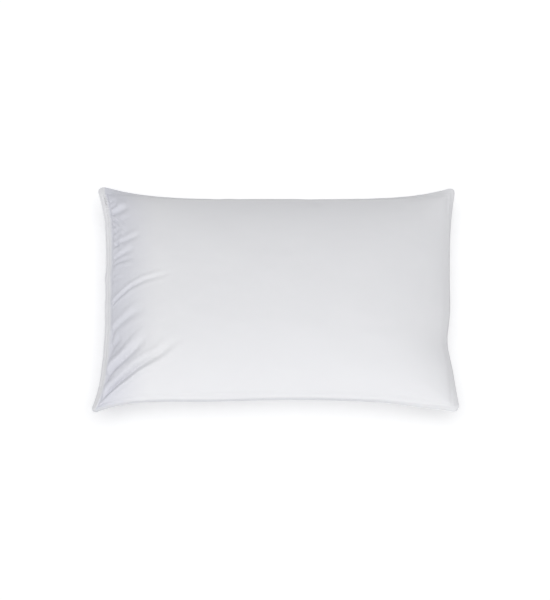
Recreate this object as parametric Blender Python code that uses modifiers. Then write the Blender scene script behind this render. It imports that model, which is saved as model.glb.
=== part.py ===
"""Bed pillow lying flat: two cotton panels, their twin-needle seams, the loose fill and a care label.

Metres, +Z up. X runs along the pillow, the closing end is at -X and the front is at -Y. The origin is on the
resting plane, under the middle of the pillow.
"""

import math

import bmesh
import bpy
from mathutils import Vector

COLLECTION = "bed_pillow"

# Overall size, over the stitched flange
CORNER_LENGTH = 0.730  # along X, from corner to corner
CORNER_WIDTH = 0.486  # along Y, from corner to corner
END_PULL_IN = 0.015  # how far each short end is drawn in at its middle
SIDE_PULL_IN = 0.021  # how far each long side is drawn in at its middle
END_CURVE = 4.0  # a higher power keeps the draw-in flat for longer and the ear shorter
SIDE_CURVE = 6.0

# Height
SEAM_HEIGHT = 0.058  # the seam's mid-plane above the floor, away from the corners
EAR_DROOP = 0.008  # how far the empty corners hang below that
EAR_CURVE = 6.0
CROWN_HEIGHT = 0.089  # the upper panel's top above the seam
BELLY_DEPTH = 0.082  # how far the lower panel would bulge below the seam with no floor under it

# How full the crown is: a higher reach keeps it high for longer, a lower round makes the shoulder steeper
LENGTH_REACH = 3.4
WIDTH_REACH = 2.4
SHOULDER_ROUND = 0.66

# Cloth, flange and stitching
CLOTH = 0.0008
PANEL_GAP = 0.0006  # between the two panels where they are sewn face to face
FLANGE_WIDTH = 0.0125
OUTER_ROW_INSET = 0.0030  # outer stitch row, in from the flange's edge
NEEDLE_GAUGE = 0.0064  # between the two rows
THREAD_DIAMETER = 0.0005
THREAD_GAP = 0.0003
FILL_GAP = 0.0005  # between the fill and the inside of the cloth
FILL_RIM_REACH = 0.95  # the fill stops at this share of the way out, before the cloth pinches together

# Lock tack that ends the closing seam at its rear corner
TACK_LENGTH = 0.022
TACK_WIDTH = 0.0026
TACK_HEIGHT = 0.0012
TACK_FROM_REAR = 0.030  # from the rear edge to the tack's middle
TACK_SLICES = 5

# Care label, folded once and hung from the rear flange
LABEL_WIDTH = 0.040
LABEL_DROP = 0.034
LABEL_BAND = 0.010  # the part that lies under the flange
LABEL_THICKNESS = 0.0006
LABEL_OFFSET = 0.100  # along X from the pillow's middle

# How finely the panels are divided
LENGTH_STEPS = 26
WIDTH_STEPS = 18

SEAM_FACE = PANEL_GAP / 2.0 + CLOTH  # from the seam's mid-plane to the outside of either panel
THREAD_LIFT = SEAM_FACE + THREAD_GAP + THREAD_DIAMETER / 2.0
INNER_ROW_INSET = OUTER_ROW_INSET + NEEDLE_GAUGE
FLANGE_INSETS = (0.0, OUTER_ROW_INSET, INNER_ROW_INSET)

UPPER = 1
LOWER = -1


def clear_scene():
    """Remove whatever objects the file holds."""
    for item in list(bpy.data.objects):
        bpy.data.objects.remove(item, do_unlink=True)


def material(name, colour, roughness):
    """A plain Principled material with this colour and roughness."""
    made = bpy.data.materials.new(name)
    made.use_nodes = True
    shader = made.node_tree.nodes["Principled BSDF"]
    shader.inputs["Base Color"].default_value = (*colour, 1.0)
    shader.inputs["Roughness"].default_value = roughness
    shader.inputs["Metallic"].default_value = 0.0
    return made


def half_length(across):
    """Half the length over the flange, at this share (-1 to 1) of the way across the pillow."""
    return CORNER_LENGTH / 2.0 - END_PULL_IN * (1.0 - abs(across) ** END_CURVE)


def half_width(along):
    """Half the width over the flange, at this share (-1 to 1) of the way along the pillow."""
    return CORNER_WIDTH / 2.0 - SIDE_PULL_IN * (1.0 - abs(along) ** SIDE_CURVE)


def seam_height(along, across):
    """Height of the seam's mid-plane, which sags towards the corners."""
    return SEAM_HEIGHT - EAR_DROOP * abs(along * across) ** EAR_CURVE


def fullness(along, across):
    """How far the cloth is blown out here, from 0 at the seam to 1 at the crown."""
    lengthwise = 1.0 - abs(along) ** LENGTH_REACH
    widthwise = 1.0 - abs(across) ** WIDTH_REACH
    return max(lengthwise * widthwise, 0.0) ** SHOULDER_ROUND


def stations(steps):
    """Grid lines from one edge to the other, each as (share of the way out, inset from the edge or None)."""
    body = []
    for step in range(steps + 1):
        share = math.sin((step / steps - 0.5) * math.pi)
        body.append((share, None))
    near = [(-1.0, inset) for inset in FLANGE_INSETS]
    far = [(1.0, inset) for inset in reversed(FLANGE_INSETS)]
    return near + body + far


def reach(station, half):
    """Coordinate of a station where the pillow's half size, over the flange, is half."""
    share, inset = station
    if inset is None:
        return share * (half - FLANGE_WIDTH)
    return share * (half - inset)


def surface_point(column, row, side):
    """Point on the outside of the upper or lower panel at a column and a row of the grid."""
    along = column[0]
    across = row[0]
    x = reach(column, half_length(across))
    y = reach(row, half_width(along))
    seam = seam_height(along, across)
    if side == UPPER:
        return Vector((x, y, seam + SEAM_FACE + CROWN_HEIGHT * fullness(along, across)))
    return Vector((x, y, max(seam - SEAM_FACE - BELLY_DEPTH * fullness(along, across), 0.0)))


def lift_to_surface(mesh, columns, rows, side):
    """Move a flat grid's vertices, made row by row, onto the panel's outside."""
    mesh.verts.ensure_lookup_table()
    for row_number, row in enumerate(rows):
        for column_number, column in enumerate(columns):
            vertex = mesh.verts[row_number * len(columns) + column_number]
            vertex.co = surface_point(column, row, side)


def grid_mesh(columns, rows, side):
    """A bmesh of the panel's outside, facing away from the fill."""
    mesh = bmesh.new()
    bmesh.ops.create_grid(mesh, x_segments=len(columns) - 1, y_segments=len(rows) - 1, size=1.0)
    lift_to_surface(mesh, columns, rows, side)
    if side == LOWER:
        bmesh.ops.reverse_faces(mesh, faces=mesh.faces[:])
    return mesh


def add_object(name, mesh, finish, collection):
    """Turn a bmesh into a named object with its material."""
    data = bpy.data.meshes.new(name)
    mesh.normal_update()
    mesh.to_mesh(data)
    mesh.free()
    data.shade_smooth()
    data.materials.append(finish)
    made = bpy.data.objects.new(name, data)
    collection.objects.link(made)
    return made


def thicken(item, thickness):
    """Give an open surface its wall, on the side away from its normals."""
    wall = item.modifiers.new("wall", "SOLIDIFY")
    wall.thickness = thickness
    wall.offset = -1.0
    wall.use_even_offset = True


def build_panel(name, side, finish, collection):
    """One casing panel with its flange, as an open grid with the cloth's thickness."""
    mesh = grid_mesh(stations(LENGTH_STEPS), stations(WIDTH_STEPS), side)
    panel = add_object(name, mesh, finish, collection)
    thicken(panel, CLOTH)
    return panel


def build_fill(finish, collection):
    """The loose fill: the hollow inside the panels, kept clear of the cloth all round."""
    columns = [entry for entry in stations(LENGTH_STEPS) if abs(entry[0]) < FILL_RIM_REACH]
    rows = [entry for entry in stations(WIDTH_STEPS) if abs(entry[0]) < FILL_RIM_REACH]
    mesh = grid_mesh(columns, rows, UPPER)
    lower = grid_mesh(columns, rows, LOWER)
    scratch = bpy.data.meshes.new("fill_lower")
    lower.to_mesh(scratch)
    lower.free()
    mesh.from_mesh(scratch)
    bpy.data.meshes.remove(scratch)
    rim = [edge for edge in mesh.edges if edge.is_boundary]
    bmesh.ops.bridge_loops(mesh, edges=rim)
    bmesh.ops.recalc_face_normals(mesh, faces=mesh.faces[:])
    mesh.normal_update()
    inset = CLOTH + FILL_GAP
    moved = {vertex: vertex.co - vertex.normal * inset * vertex.calc_shell_factor() for vertex in mesh.verts}
    for vertex, place in moved.items():
        vertex.co = place
    return add_object("fill", mesh, finish, collection)


def row_point(column, row, side):
    """Centre of a stitch row's thread where the row crosses this grid point."""
    point = surface_point(column, row, side)
    point.z = seam_height(column[0], row[0]) + side * THREAD_LIFT
    return point


def side_row_path(inset, side):
    """A row round the three sides that are sewn before filling, from the front of the closing end to its rear."""
    columns = [entry for entry in stations(LENGTH_STEPS) if entry[1] is None]
    rows = [entry for entry in stations(WIDTH_STEPS) if entry[1] is None]
    far_column = (1.0, inset)
    front = [row_point(column, (-1.0, inset), side) for column in columns]
    end = [row_point(far_column, row, side) for row in [(-1.0, inset), *rows, (1.0, inset)]]
    rear = [row_point(column, (1.0, inset), side) for column in reversed(columns)]
    return front + end + rear


def closing_row_path(inset, side):
    """A row along the closing end, sewn after filling, from the front edge to the rear edge."""
    rows = [entry for entry in stations(WIDTH_STEPS) if entry[1] is None]
    whole = [(-1.0, OUTER_ROW_INSET), *rows, (1.0, OUTER_ROW_INSET)]
    return [row_point((-1.0, inset), row, side) for row in whole]


def build_thread(name, path, finish, collection):
    """One continuous thread along a stitch row."""
    curve = bpy.data.curves.new(name, "CURVE")
    curve.dimensions = "3D"
    curve.bevel_depth = THREAD_DIAMETER / 2.0
    curve.bevel_resolution = 1
    curve.use_fill_caps = True
    spline = curve.splines.new("POLY")
    spline.points.add(len(path) - 1)
    for knot, place in zip(spline.points, path):
        knot.co = (*place, 1.0)
    curve.materials.append(finish)
    made = bpy.data.objects.new(name, curve)
    collection.objects.link(made)
    return made


def build_threads(finish, collection):
    """All the stitch rows: outer and inner, each with its needle thread above and its bobbin thread below."""
    insets = {"outer": OUTER_ROW_INSET, "inner": INNER_ROW_INSET}
    faces = {"needle": UPPER, "bobbin": LOWER}
    for row_name, inset in insets.items():
        for thread_name, side in faces.items():
            label = f"{row_name}_{thread_name}_thread"
            build_thread(f"side_{label}", side_row_path(inset, side), finish, collection)
            build_thread(f"closing_{label}", closing_row_path(inset, side), finish, collection)


def build_tack(finish, collection):
    """The lock tack: a low rounded bar of bunched stitches that follows the flange between the closing rows."""
    middle_y = half_width(1.0) - TACK_FROM_REAR
    between_rows = (OUTER_ROW_INSET + INNER_ROW_INSET) / 2.0
    mesh = bmesh.new()
    bmesh.ops.create_cube(mesh, size=1.0)
    bmesh.ops.scale(mesh, vec=(TACK_WIDTH, TACK_LENGTH, TACK_HEIGHT), verts=mesh.verts[:])
    bmesh.ops.bevel(
        mesh, geom=mesh.edges[:], offset=TACK_HEIGHT / 3.0, offset_type="OFFSET", segments=1, profile=0.5,
        affect="EDGES", material=-1,
    )
    for slice_number in range(1, TACK_SLICES):
        cut_y = TACK_LENGTH * (slice_number / TACK_SLICES - 0.5)
        everything = mesh.verts[:] + mesh.edges[:] + mesh.faces[:]
        bmesh.ops.bisect_plane(mesh, geom=everything, plane_co=(0.0, cut_y, 0.0), plane_no=(0.0, 1.0, 0.0))
    for vertex in mesh.verts:
        y = middle_y + vertex.co.y
        across = min(y / (half_width(1.0) - FLANGE_WIDTH), 1.0)
        seat = seam_height(-1.0, across) + SEAM_FACE + THREAD_GAP + TACK_HEIGHT / 2.0
        vertex.co = (vertex.co.x + between_rows - half_length(across), y, seat + vertex.co.z)
    return add_object("closing_lock_tack", mesh, finish, collection)


def build_label(finish, collection):
    """The blank care label: a band under the rear flange and a flap that hangs from it."""
    mesh = bmesh.new()
    under = THREAD_LIFT + THREAD_DIAMETER / 2.0 + THREAD_GAP
    bmesh.ops.create_grid(mesh, x_segments=4, y_segments=2, size=1.0)
    for vertex in mesh.verts:
        x = LABEL_OFFSET + vertex.co.x * LABEL_WIDTH / 2.0
        along = x / (half_length(1.0) - FLANGE_WIDTH)
        edge = half_width(along)
        top = seam_height(along, 1.0) - under
        if vertex.co.y < -0.5:
            vertex.co = (x, edge - LABEL_BAND, top)
        elif vertex.co.y < 0.5:
            vertex.co = (x, edge, top)
        else:
            vertex.co = (x, edge, top - LABEL_DROP)
    label = add_object("care_label", mesh, finish, collection)
    thicken(label, LABEL_THICKNESS)
    return label


def main():
    """Build the pillow."""
    clear_scene()
    collection = bpy.data.collections.new(COLLECTION)
    bpy.context.scene.collection.children.link(collection)
    cotton = material("white_cotton", (0.84, 0.84, 0.86), 0.9)
    lining_cotton = material("white_cotton_underside", (0.84, 0.84, 0.86), 0.9)
    fibre = material("white_fill", (0.92, 0.92, 0.92), 1.0)
    thread = material("white_thread", (0.88, 0.88, 0.90), 0.6)
    satin = material("white_satin", (0.90, 0.90, 0.90), 0.45)
    build_panel("upper_panel", UPPER, cotton, collection)
    build_panel("lower_panel", LOWER, lining_cotton, collection)
    build_fill(fibre, collection)
    build_threads(thread, collection)
    build_tack(thread, collection)
    build_label(satin, collection)


main()
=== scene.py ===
"""White cotton bed pillow, lying flat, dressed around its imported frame.

Metres, +Z up. X runs along the pillow with the closing end at -X, and the front is at -Y. Each panel is a
sheet of cloth that is blown out by a short cloth simulation, then folded, stitched and given its woven finish.
"""

import logging
import math
import random
from dataclasses import dataclass, field
from enum import Enum

import bmesh
import bpy
from mathutils import Matrix, Vector, noise
from mathutils.bvhtree import BVHTree
from mathutils.geometry import barycentric_transform


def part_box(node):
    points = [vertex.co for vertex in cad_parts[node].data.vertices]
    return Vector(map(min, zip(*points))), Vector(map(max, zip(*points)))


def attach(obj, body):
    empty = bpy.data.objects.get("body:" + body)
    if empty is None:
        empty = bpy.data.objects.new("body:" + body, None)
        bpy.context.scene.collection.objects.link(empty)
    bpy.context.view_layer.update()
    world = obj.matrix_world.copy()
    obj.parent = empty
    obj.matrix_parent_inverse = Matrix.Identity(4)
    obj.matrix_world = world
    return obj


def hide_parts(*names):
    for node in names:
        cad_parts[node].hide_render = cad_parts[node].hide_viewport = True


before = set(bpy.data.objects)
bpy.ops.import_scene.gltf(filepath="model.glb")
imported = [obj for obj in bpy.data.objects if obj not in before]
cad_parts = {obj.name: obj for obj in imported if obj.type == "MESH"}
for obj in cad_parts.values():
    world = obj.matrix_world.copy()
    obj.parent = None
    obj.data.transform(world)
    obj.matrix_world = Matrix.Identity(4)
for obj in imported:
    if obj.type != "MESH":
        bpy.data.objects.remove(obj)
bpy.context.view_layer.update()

LOG = logging.getLogger("pillow")
BODY = "root"
PANEL_CUT = (0.775, 0.525)  # each panel as cut, with its seam allowance
HALF_CUT = (0.362, 0.2375)  # half the cut panel, out to where its flange starts
STITCH_ROWS = (0.0031, 0.0095)  # how far out over the flange the inner and outer rows of stitches run
SEWN_THREAD = 0.0005  # the thickness of the sewing thread

Triple = tuple[float, float, float]
Spot = tuple[float, float]


class Face(Enum):
    """Which of the two panels a thing belongs to, as the sign of its way out."""

    UPPER = 1.0
    LOWER = -1.0


class Slot(Enum):
    """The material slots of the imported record."""

    COTTON = "cotton"
    FILL = "fill_fibre"
    THREAD = "thread"
    LABEL = "label_satin"


def smooth_step(low: float, high: float, value: float) -> float:
    """Ease from 0 to 1 as a value goes from low to high.

    Args:
        low: Where the ramp starts.
        high: Where it ends.
        value: The value to place on it.

    Returns:
        A number from 0 to 1.
    """
    share = min(max((value - low) / (high - low), 0.0), 1.0)
    return share * share * (3.0 - 2.0 * share)


def hill(value: float, place: float, spread: float) -> float:
    """Height of a smooth hill 1 high, centred on a place and this spread wide, under a value."""
    return math.exp(-(((value - place) / spread) ** 2))


def add_piece(
    name: str, mesh: bmesh.types.BMesh, finish: bpy.types.Material
) -> bpy.types.Object:
    """Turn a bmesh into a finished piece that rides on the pillow's body.

    Args:
        name: The piece's name.
        mesh: Its shape, in place. It is freed.
        finish: Its material.

    Returns:
        The new object.
    """
    data = bpy.data.meshes.new(name)
    mesh.to_mesh(data)
    mesh.free()
    data.shade_smooth()
    data.materials.append(finish)
    piece = bpy.data.objects.new(name, data)
    bpy.context.scene.collection.objects.link(piece)
    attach(piece, BODY)
    LOG.info("%s: %d faces", name, len(data.polygons))
    return piece


# ---------------------------------------------------------------------------------------------- finishes


class NodeSheet:
    """A short way to lay out shader nodes in a tree."""

    def __init__(self, tree: bpy.types.NodeTree) -> None:
        """Start on this tree."""
        self.tree = tree

    def add(self, kind: str, **values: object) -> bpy.types.Node:
        """Add a node.

        Args:
            kind: The node's class name.
            values: Socket values by name, with _ for a space, or the node's own settings.

        Returns:
            The node.
        """
        node = self.tree.nodes.new(kind)
        for key, value in values.items():
            socket = node.inputs.get(key.replace("_", " "))
            if hasattr(node, key):
                setattr(node, key, value)
            elif socket is not None:
                socket.default_value = value
        return node

    def link(self, start: bpy.types.NodeSocket, end: bpy.types.NodeSocket) -> None:
        """Join an output to an input."""
        self.tree.links.new(start, end)

    def math(
        self, operation: str, first: object, second: object = 0.0, third: object = 0.0
    ) -> bpy.types.NodeSocket:
        """Add a math node.

        Args:
            operation: The node's operation.
            first: A socket or a number.
            second: A socket or a number.
            third: A socket or a number.

        Returns:
            The node's output.
        """
        node = self.tree.nodes.new("ShaderNodeMath")
        node.operation = operation
        for place, value in enumerate((first, second, third)):
            if isinstance(value, bpy.types.NodeSocket):
                self.link(value, node.inputs[place])
            else:
                node.inputs[place].default_value = value
        return node.outputs[0]

    def noise(self, vector: bpy.types.NodeSocket, scale: float, detail: float = 2.0) -> bpy.types.NodeSocket:
        """Add a noise texture.

        Args:
            vector: Where it is read.
            scale: How fine it is.
            detail: How many finer layers it has.

        Returns:
            Its value.
        """
        node = self.add("ShaderNodeTexNoise", Scale=scale, Detail=detail)
        self.link(vector, node.inputs["Vector"])
        return node.outputs["Fac"]

    def stretched(self, vector: bpy.types.NodeSocket, scale: Triple) -> bpy.types.NodeSocket:
        """Scale a vector unevenly, to draw a pattern out one way.

        Args:
            vector: The vector.
            scale: Its scale along each axis.

        Returns:
            The scaled vector.
        """
        node = self.add("ShaderNodeMapping")
        node.inputs["Scale"].default_value = scale
        self.link(vector, node.inputs["Vector"])
        return node.outputs["Vector"]

    def split(self, vector: bpy.types.NodeSocket) -> tuple[bpy.types.NodeSocket, bpy.types.NodeSocket]:
        """Take a vector apart.

        Args:
            vector: The vector.

        Returns:
            Its X and its Y.
        """
        node = self.add("ShaderNodeSeparateXYZ")
        self.link(vector, node.inputs[0])
        return node.outputs["X"], node.outputs["Y"]

    def ramp(
        self, value: bpy.types.NodeSocket, low: float, high: float, start: float = 0.0, end: float = 1.0
    ) -> bpy.types.NodeSocket:
        """Ease from one number to another while a value crosses a range.

        Args:
            value: The value.
            low: Where the range starts.
            high: Where it ends.
            start: What comes out before it.
            end: What comes out after it.

        Returns:
            The eased number.
        """
        node = self.add("ShaderNodeMapRange", interpolation_type="SMOOTHSTEP")
        for name, number in (("From Min", low), ("From Max", high), ("To Min", start), ("To Max", end)):
            node.inputs[name].default_value = number
        self.link(value, node.inputs["Value"])
        return node.outputs["Result"]

    def mixed(
        self, share: bpy.types.NodeSocket, first: bpy.types.NodeSocket | Triple, second: Triple
    ) -> bpy.types.NodeSocket:
        """Mix two colours.

        Args:
            share: How much of the second colour shows.
            first: The first colour, or the socket that gives it.
            second: The second colour.

        Returns:
            The mixed colour.
        """
        node = self.add("ShaderNodeMix", data_type="RGBA")
        if isinstance(first, bpy.types.NodeSocket):
            self.link(first, node.inputs["A"])
        else:
            node.inputs["A"].default_value = (*first, 1.0)
        node.inputs["B"].default_value = (*second, 1.0)
        self.link(share, node.inputs["Factor"])
        return node.outputs["Result"]

    def raised(
        self, height: bpy.types.NodeSocket, strength: float, distance: float,
        base: bpy.types.NodeSocket | None = None,
    ) -> bpy.types.NodeSocket:
        """Raise a pattern on the surface.

        Args:
            height: The pattern.
            strength: How strongly it shows.
            distance: Its height in metres.
            base: The normal of a coarser pattern that it lies on.

        Returns:
            The surface's normal.
        """
        node = self.add("ShaderNodeBump", Strength=strength, Distance=distance)
        self.link(height, node.inputs["Height"])
        if base is not None:
            self.link(base, node.inputs["Normal"])
        return node.outputs["Normal"]


@dataclass(frozen=True)
class WeaveGroup:
    """The woven surface as a node group: thread relief, slubs and a cloud of tone."""

    name: str = "plain_weave"
    sockets: tuple[tuple[str, float], ...] = (("Threads per metre", 2600.0), ("Relief", 1.0), ("Slub", 0.4))
    slub_scales: tuple[Triple, Triple] = ((40.0, 900.0, 1.0), (900.0, 40.0, 1.0))
    cloud_scale: float = 9.0
    slub_tone: float = 0.25
    cloud_tone: float = 0.75

    def build(self) -> bpy.types.NodeTree:
        """Make the group once.

        Returns:
            The group. Vector, Threads per metre, Relief and Slub go in, and Height and Tone come out.
        """
        if self.name in bpy.data.node_groups:
            return bpy.data.node_groups[self.name]
        tree = bpy.data.node_groups.new(self.name, "ShaderNodeTree")
        tree.interface.new_socket("Vector", in_out="INPUT", socket_type="NodeSocketVector")
        for label, value in self.sockets:
            socket = tree.interface.new_socket(label, in_out="INPUT", socket_type="NodeSocketFloat")
            socket.default_value = value
        for label in ("Height", "Tone"):
            tree.interface.new_socket(label, in_out="OUTPUT", socket_type="NodeSocketFloat")
        sheet = NodeSheet(tree)
        start = sheet.add("NodeGroupInput").outputs
        end = sheet.add("NodeGroupOutput").inputs
        turn = sheet.math("MULTIPLY", start["Threads per metre"], math.pi)
        warp, weft = (
            sheet.math("SINE", sheet.math("MULTIPLY", axis, turn)) for axis in sheet.split(start["Vector"])
        )
        along, across = (
            sheet.noise(sheet.stretched(start["Vector"], scale), 1.0, 1.0) for scale in self.slub_scales
        )
        slub = sheet.math("MULTIPLY", sheet.math("ADD", along, across), start["Slub"])
        relief = sheet.math("MULTIPLY", sheet.math("MULTIPLY", warp, weft), start["Relief"])
        sheet.link(sheet.math("ADD", relief, slub), end["Height"])
        cloud = sheet.math("MULTIPLY", sheet.noise(start["Vector"], self.cloud_scale, 3.0), self.cloud_tone)
        sheet.link(sheet.math("MULTIPLY_ADD", slub, self.slub_tone, cloud), end["Tone"])
        return tree


@dataclass(frozen=True)
class Finish:
    """What every finish has: its name and the two tones that its pattern runs between."""

    name: str
    dark: Triple
    light: Triple

    def start(self, **values: object) -> tuple[bpy.types.Material, NodeSheet, bpy.types.Node]:
        """Start the node material.

        Args:
            values: The shader's socket values by name, with _ for a space.

        Returns:
            The material, its node sheet and its Principled shader.
        """
        made = bpy.data.materials.new(self.name)
        made.use_nodes = True
        shader = made.node_tree.nodes["Principled BSDF"]
        for key, value in values.items():
            shader.inputs[key.replace("_", " ")].default_value = value
        return made, NodeSheet(made.node_tree), shader

    def clumped(
        self, scale: float, detail: float, strength: float, distance: float, **values: object
    ) -> bpy.types.Material:
        """Make a material with one pattern over object coordinates, in its tones and its relief.

        Args:
            scale: How fine the pattern is.
            detail: How many finer layers it has.
            strength: How strongly its relief shows, or 0 for none.
            distance: The relief's height in metres.
            values: The shader's socket values.

        Returns:
            The material.
        """
        made, sheet, shader = self.start(**values)
        pattern = sheet.noise(sheet.add("ShaderNodeTexCoord").outputs["Object"], scale, detail)
        sheet.link(sheet.mixed(pattern, self.dark, self.light), shader.inputs["Base Color"])
        if strength > 0.0:
            sheet.link(sheet.raised(pattern, strength, distance), shader.inputs["Normal"])
        return made

    @staticmethod
    def woven(sheet: NodeSheet, **values: float) -> tuple[bpy.types.NodeSocket, bpy.types.Node]:
        """Lay the weave over the piece's cut map.

        Args:
            sheet: The material's node sheet.
            values: The weave's own values.

        Returns:
            The cut map in metres and the weave's node.
        """
        cut = sheet.add("ShaderNodeUVMap", uv_map="cut").outputs["UV"]
        weave = sheet.add("ShaderNodeGroup", node_tree=WeaveGroup().build(), **values)
        sheet.link(cut, weave.inputs["Vector"])
        return cut, weave


@dataclass(frozen=True)
class CottonFinish(Finish):
    """Fine bleached percale: nearly matt, faintly cool, with a thread relief and soft handling creases.

    It has painted shade in two places: darker and cooler where the closing end draws it up, standing in for the
    shade of the small puckers there, and darker on the front's hem, standing in for the shade on the hanging
    flange, which fades out.
    """

    name: str = "bleached_percale"
    dark: Triple = (0.732, 0.732, 0.750)
    light: Triple = (0.752, 0.752, 0.766)
    # Painted shade: a darker, cooler colour standing in for the shade of the puckers where the closing end is
    # drawn up. It is kept off the flange.
    drawn_up: Triple = (0.622, 0.626, 0.676)
    drawn_up_zone: Spot = (-0.355, -0.245)
    off_flange: Spot = (-0.001, 0.003)
    # Painted shade on the front's hem: a darker colour standing in for the shade on the hanging flange. It
    # comes in just past the front seam and fades out towards the far end, down to a tenth.
    hem_painted_shade: Triple = (0.660, 0.663, 0.690)
    hem_shade_ramp: float = 0.002
    hem_shade_zone: Spot = (0.10, 0.32)
    hem_shade_left: float = 0.1
    threads_per_metre: float = 2400.0
    weave_depth: float = 0.00010
    crease_depth: float = 0.0011
    crease_scale: Triple = (7.0, 11.0, 1.0)

    def build(self) -> bpy.types.Material:
        """Make the material, which reads the panel's cut map in metres.

        Returns:
            The material.
        """
        made, sheet, shader = self.start(
            Roughness=0.86, Sheen_Weight=0.12, Sheen_Roughness=0.45, Specular_IOR_Level=0.25
        )
        cut, weave = self.woven(sheet, Threads_per_metre=self.threads_per_metre)
        x, y = sheet.split(cut)
        # Mask of the painted shade near the closing end, kept off the flange.
        drawn_up = sheet.ramp(x, *self.drawn_up_zone, 1.0, 0.0)
        off_flange = sheet.ramp(x, *(edge - HALF_CUT[0] for edge in self.off_flange))
        # Mask of the painted shade on the front's hem, and how it fades out along the pillow.
        hem_shade_mask = sheet.ramp(y, -HALF_CUT[1], -HALF_CUT[1] - self.hem_shade_ramp)
        hem_shade_fade = sheet.ramp(x, *self.hem_shade_zone, 1.0, self.hem_shade_left)
        colour = sheet.mixed(weave.outputs["Tone"], self.dark, self.light)
        # Painted shade: darker and cooler near the closing end.
        colour = sheet.mixed(sheet.math("MULTIPLY", drawn_up, off_flange), colour, self.drawn_up)
        # Painted shade: darker on the front's hanging hem, fading out towards the far end.
        colour = sheet.mixed(sheet.math("MULTIPLY", hem_shade_mask, hem_shade_fade), colour, self.hem_painted_shade)
        sheet.link(colour, shader.inputs["Base Color"])
        creases = sheet.noise(sheet.stretched(cut, self.crease_scale), 1.0, 4.0)
        handled = sheet.raised(creases, 0.55, self.crease_depth)
        threads = sheet.raised(weave.outputs["Height"], 0.6, self.weave_depth, handled)
        sheet.link(threads, shader.inputs["Normal"])
        return made


@dataclass(frozen=True)
class ThreadFinish(Finish):
    """Spun white sewing thread with the twist of its plies."""

    name: str = "white_sewing_thread"
    dark: Triple = (0.76, 0.76, 0.785)
    light: Triple = (0.82, 0.82, 0.84)

    def build(self) -> bpy.types.Material:
        """Make the material."""
        return self.clumped(1400.0, 1.0, 0.15, 0.00004, Roughness=0.62, Sheen_Weight=0.1)


@dataclass(frozen=True)
class SatinFinish(Finish):
    """White woven satin ribbon: fine ribs across and a soft gloss."""

    name: str = "white_satin_ribbon"
    dark: Triple = (0.74, 0.74, 0.75)
    light: Triple = (0.82, 0.82, 0.82)
    ribs_per_metre: float = 1800.0
    slub: float = 0.8

    def build(self) -> bpy.types.Material:
        """Make the material, which reads the ribbon's cut map in metres.

        Returns:
            The material.
        """
        made, sheet, shader = self.start(Roughness=0.42)
        _, weave = self.woven(sheet, Threads_per_metre=self.ribs_per_metre, Slub=self.slub)
        sheet.link(sheet.mixed(weave.outputs["Tone"], self.dark, self.light), shader.inputs["Base Color"])
        sheet.link(sheet.raised(weave.outputs["Height"], 0.4, 0.00006), shader.inputs["Normal"])
        return made


@dataclass(frozen=True)
class FibreFinish(Finish):
    """The loose white fill: matt, clumped and fluffy."""

    name: str = "white_loose_fill"
    dark: Triple = (0.70, 0.70, 0.69)
    light: Triple = (0.86, 0.86, 0.85)

    def build(self) -> bpy.types.Material:
        """Make the material."""
        return self.clumped(55.0, 6.0, 0.9, 0.003, Roughness=1.0, Sheen_Weight=0.4)


@dataclass(frozen=True)
class FloorFinish(Finish):
    """A plain white studio floor that the light washes out."""

    name: str = "white_studio_floor"
    dark: Triple = (0.95, 0.95, 0.95)
    light: Triple = (0.96, 0.96, 0.96)
    glow: float = 0.228

    def build(self) -> bpy.types.Material:
        """Make the material."""
        return self.clumped(
            3.0, 2.0, 0.0, 0.0, Roughness=0.9, Specular_IOR_Level=0.0,
            Emission_Color=(1.0, 1.0, 1.0, 1.0), Emission_Strength=self.glow,
        )


# ------------------------------------------------------------------------------------------- the form


@dataclass(frozen=True)
class EdgePlan:
    """One of the pillow's four edges, seen from above: where its seam runs and how its flange hangs.

    Shares run from -1 to 1 along the edge, from front to rear on an end and from the closing end on a side.
    Each dip is a share, a reach and a depth.
    """

    middle: float
    low_ear: float
    high_ear: float
    low_curve: float
    high_curve: float
    tilt: float
    low_ear_tilt: float
    high_ear_tilt: float
    dips: tuple[tuple[float, float, float], ...] = ()
    tilt_curve: float = 5.0

    def out(self, share: float) -> float:
        """How far out the seam runs at a place along the edge.

        Args:
            share: The place, from -1 to 1.

        Returns:
            The distance from the pillow's middle line, in metres.
        """
        ear, curve = (self.low_ear, self.low_curve) if share < 0.0 else (self.high_ear, self.high_curve)
        drawn_in = sum(depth * hill(share, place, reach) for place, reach, depth in self.dips)
        return self.middle + ear * abs(share) ** curve - drawn_in

    def hang(self, share: float) -> float:
        """How steeply the flange hangs at a place along the edge.

        Args:
            share: The place, from -1 to 1.

        Returns:
            The angle in radians below level.
        """
        flat = min(abs(share), 1.0) ** self.tilt_curve
        ear_tilt = self.low_ear_tilt if share < 0.0 else self.high_ear_tilt
        return math.radians(self.tilt + (ear_tilt - self.tilt) * flat)


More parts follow.
